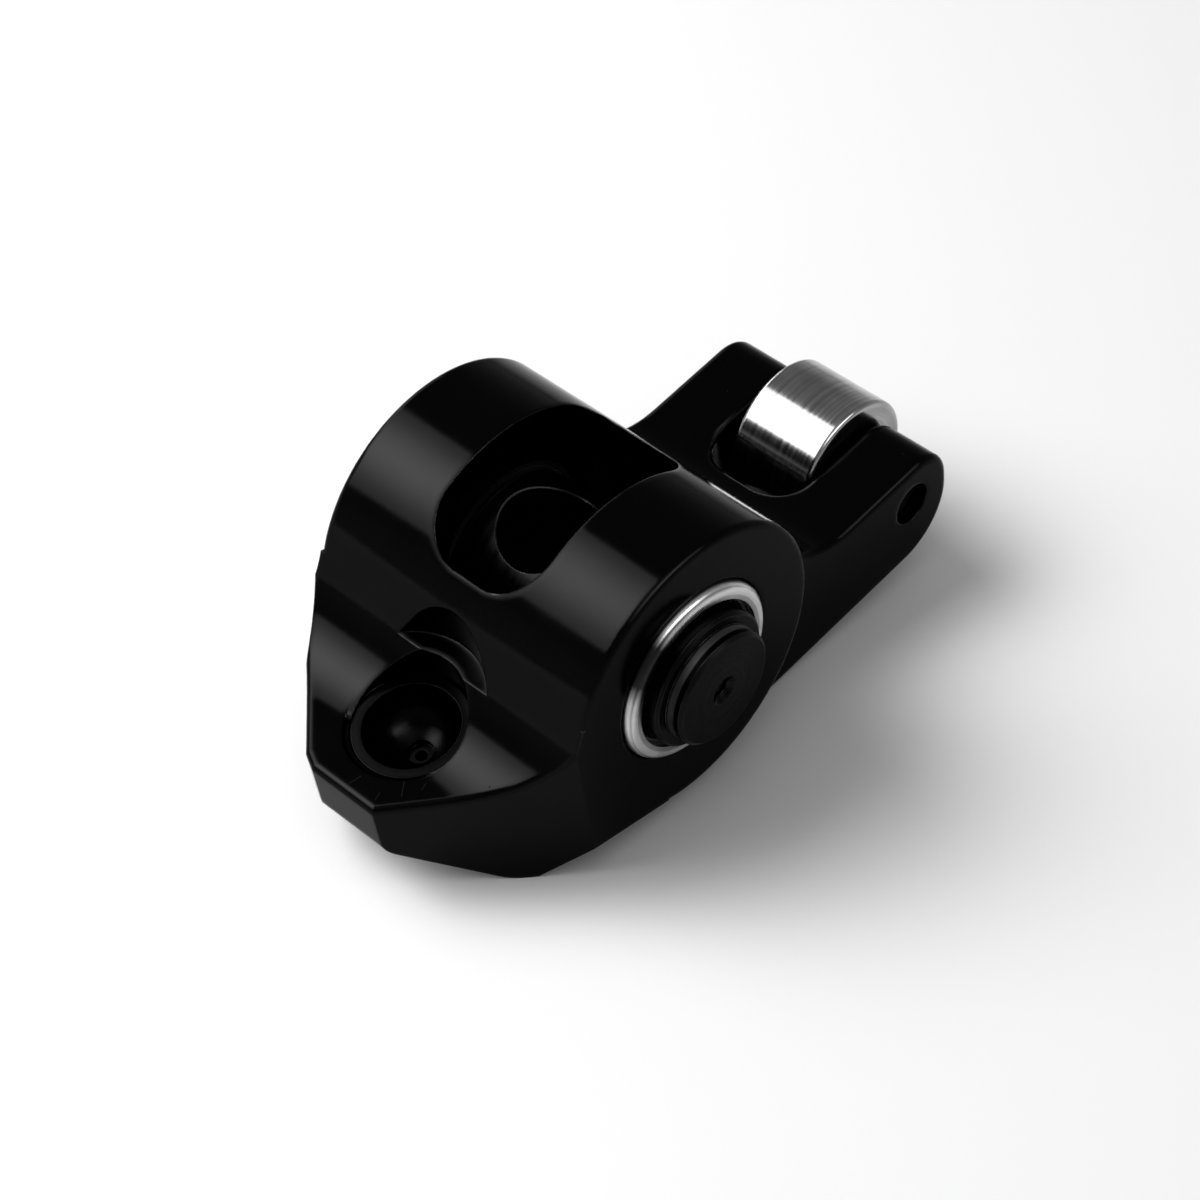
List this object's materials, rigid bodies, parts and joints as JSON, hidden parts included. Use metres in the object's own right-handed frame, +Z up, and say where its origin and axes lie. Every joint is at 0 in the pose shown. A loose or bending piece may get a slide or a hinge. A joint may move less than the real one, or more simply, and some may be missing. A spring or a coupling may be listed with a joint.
{
  "type": "roller rocker arm",
  "caption": "Black anodised aluminium rocker arm with a roller tip, a pushrod cup and a needle bearing trunnion for its bolt.",
  "frame": {"origin": "centre of the trunnion, where its axis meets the axis of the bolt hole", "axes": "+Y along the trunnion's axis, +X toward the roller, +Z up as the rocker lies upside down on a table"},
  "size_m": [0.0747, 0.0428, 0.0335],
  "materials": {
    "black_anodised": "glossy black anodised",
    "hardened_steel": "hardened, fine turned",
    "ground_steel": "turned and ground",
    "bearing_steel": "bright drawn steel",
    "roller_steel": "ground bright",
    "dark_steel": "ground",
    "cage_plastic": "moulded"
  },
  "bodies": {
    "rocker": {"rocker_body": "black_anodised", "pushrod_cup": "hardened_steel", "bearing_shell_left": "bearing_steel", "bearing_shell_right": "bearing_steel", "roller_axle": "dark_steel"},
    "trunnion": {"trunnion": "ground_steel"},
    "roller": {"roller_tip": "roller_steel"},
    "cage_left": {"needle_cage_left": "cage_plastic", "needle_left_01": "bearing_steel", "needle_left_02": "bearing_steel", "needle_left_03": "bearing_steel", "needle_left_04": "bearing_steel", "needle_left_05": "bearing_steel", "needle_left_06": "bearing_steel", "needle_left_07": "bearing_steel", "needle_left_08": "bearing_steel", "needle_left_09": "bearing_steel", "needle_left_10": "bearing_steel", "needle_left_11": "bearing_steel", "needle_left_12": "bearing_steel", "needle_left_13": "bearing_steel", "needle_left_14": "bearing_steel"},
    "cage_right": {"needle_cage_right": "cage_plastic", "needle_right_01": "bearing_steel", "needle_right_02": "bearing_steel", "needle_right_03": "bearing_steel", "needle_right_04": "bearing_steel", "needle_right_05": "bearing_steel", "needle_right_06": "bearing_steel", "needle_right_07": "bearing_steel", "needle_right_08": "bearing_steel", "needle_right_09": "bearing_steel", "needle_right_10": "bearing_steel", "needle_right_11": "bearing_steel", "needle_right_12": "bearing_steel", "needle_right_13": "bearing_steel", "needle_right_14": "bearing_steel"}
  },
  "joints": [
    {"name": "trunnion_turn", "type": "hinge", "parent": "rocker", "child": "trunnion", "pos_m": [0, 0, 0], "axis": [0, 1, 0], "continuous": true},
    {"name": "roller_spin", "type": "hinge", "parent": "rocker", "child": "roller", "pos_m": [0.03772, 0, -0.00686], "axis": [0, 1, 0], "continuous": true},
    {"name": "cage_left_turn", "type": "hinge", "parent": "rocker", "child": "cage_left", "pos_m": [0, 0, 0], "axis": [0, 1, 0], "continuous": true},
    {"name": "cage_right_turn", "type": "hinge", "parent": "rocker", "child": "cage_right", "pos_m": [0, 0, 0], "axis": [0, 1, 0], "continuous": true}
  ],
  "couplings": [
    {"joint": "cage_left_turn", "follows": "trunnion_turn", "ratio": 0.4584},
    {"joint": "cage_right_turn", "follows": "trunnion_turn", "ratio": 0.4584}
  ]
}
